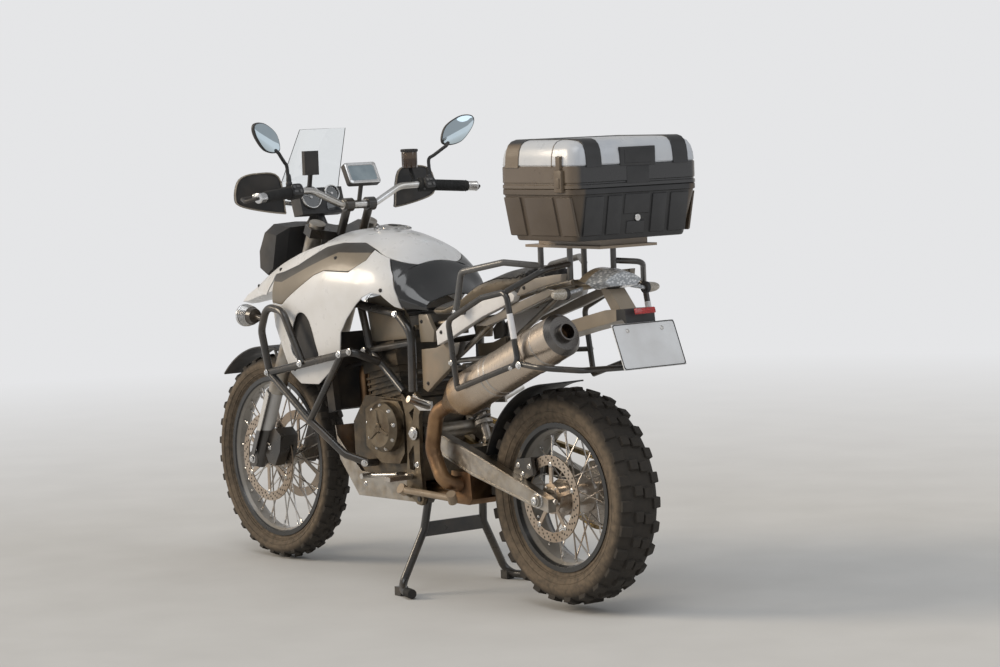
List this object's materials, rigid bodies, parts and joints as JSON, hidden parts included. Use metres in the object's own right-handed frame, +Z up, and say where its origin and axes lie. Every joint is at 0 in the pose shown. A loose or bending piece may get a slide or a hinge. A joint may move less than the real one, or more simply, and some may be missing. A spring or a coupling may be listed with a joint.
{
  "type": "adventure motorcycle",
  "caption": "Adventure touring motorcycle on its centre stand, with wire-spoked wheels, trellis side frame, crash bars, hand guards, side racks and a hinged top case.",
  "frame": {"origin": "ground level, at the middle of the length and width", "axes": "+X forward along the wheels, +Y to the rider's left, +Z up"},
  "size_m": [2.327, 0.9356, 1.502],
  "materials": {
    "tyre": "dusty matt rubber",
    "rim_black": "satin black",
    "steel": "brushed",
    "white_panel": "gloss white paint",
    "black_plastic": "grained matt black",
    "gloss_black": "gloss black",
    "frame_black": "satin black paint",
    "engine_grey": "dark grey cast finish",
    "aluminium": "brushed",
    "seat_cover": "black leathercloth",
    "chain_gold": "worn gold plating",
    "lamp_clear": "clear lens",
    "screen": "clear",
    "header": "heat tinted",
    "plate_white": "plain white",
    "radiator": "dark core",
    "case_black": "ribbed matt black",
    "case_silver": "silver panels",
    "rubber": "matt"
  },
  "bodies": {
    "chassis": {"frame": "frame_black", "pivot_plates": "frame_black", "subframe": "aluminium", "engine": "engine_grey", "engine_covers": "engine_grey", "exhaust_header": "header", "muffler": "steel", "radiator": "radiator", "skid_plate": "aluminium", "crash_bars": "frame_black", "tank_cover": "white_panel", "fairings": "white_panel", "nose_panel": "gloss_black", "seat": "seat_cover", "side_covers": "black_plastic", "tail_panels": "aluminium", "tail_mudguard": "black_plastic", "tail_lamp": "lamp_clear", "number_plate": "plate_white", "pannier_racks": "frame_black", "luggage_carrier": "frame_black", "case_tub": "case_black", "swingarm": "aluminium", "chain": "chain_gold", "shock": "steel", "rear_caliper": "frame_black", "hugger": "black_plastic", "foot_controls": "steel", "headlight": "lamp_clear", "cockpit": "black_plastic", "windscreen": "screen", "aux_lamps": "frame_black", "beak": "white_panel"},
    "steering": {"fork_clamps": "frame_black", "fork_tubes": "aluminium", "fork_sliders": "black_plastic", "front_calipers": "frame_black", "front_mudguard": "black_plastic", "handlebar": "aluminium", "hand_controls": "rubber", "handguards": "black_plastic", "mirrors": "gloss_black", "nav_unit": "gloss_black"},
    "front_wheel": {"front_tyre": "tyre", "front_rim": "rim_black", "front_hub_spokes": "steel", "front_discs": "steel"},
    "rear_wheel": {"rear_tyre": "tyre", "rear_rim": "rim_black", "rear_hub_spokes": "steel", "rear_disc": "steel", "rear_sprocket": "steel"},
    "centre_stand": {"centre_stand": "frame_black"},
    "side_stand": {"side_stand": "frame_black"},
    "case_lid": {"case_lid": "case_silver"}
  },
  "joints": [
    {"name": "steering", "type": "hinge", "parent": "chassis", "child": "steering", "pos_m": [0.9285, 0, 0], "axis": [-0.4384, 0, 0.8988], "range_deg": [-40, 40]},
    {"name": "front_wheel_spin", "type": "hinge", "parent": "steering", "child": "front_wheel", "pos_m": [0.8115, 0, 0.352], "axis": [0, 1, 0], "continuous": true},
    {"name": "rear_wheel_spin", "type": "hinge", "parent": "chassis", "child": "rear_wheel", "pos_m": [-0.7665, 0, 0.347], "axis": [0, 1, 0], "continuous": true},
    {"name": "centre_stand_fold", "type": "hinge", "parent": "chassis", "child": "centre_stand", "pos_m": [-0.1685, 0, 0.3], "axis": [0, 1, 0], "range_deg": [0, 75]},
    {"name": "side_stand_fold", "type": "hinge", "parent": "chassis", "child": "side_stand", "pos_m": [-0.1145, 0.158, 0.322], "axis": [0, -0.8601, -0.5101], "range_deg": [0, 95]},
    {"name": "case_lid_hinge", "type": "hinge", "parent": "chassis", "child": "case_lid", "pos_m": [-0.7515, 0, 1.288], "axis": [0, 1, 0], "range_deg": [0, 90]}
  ]
}
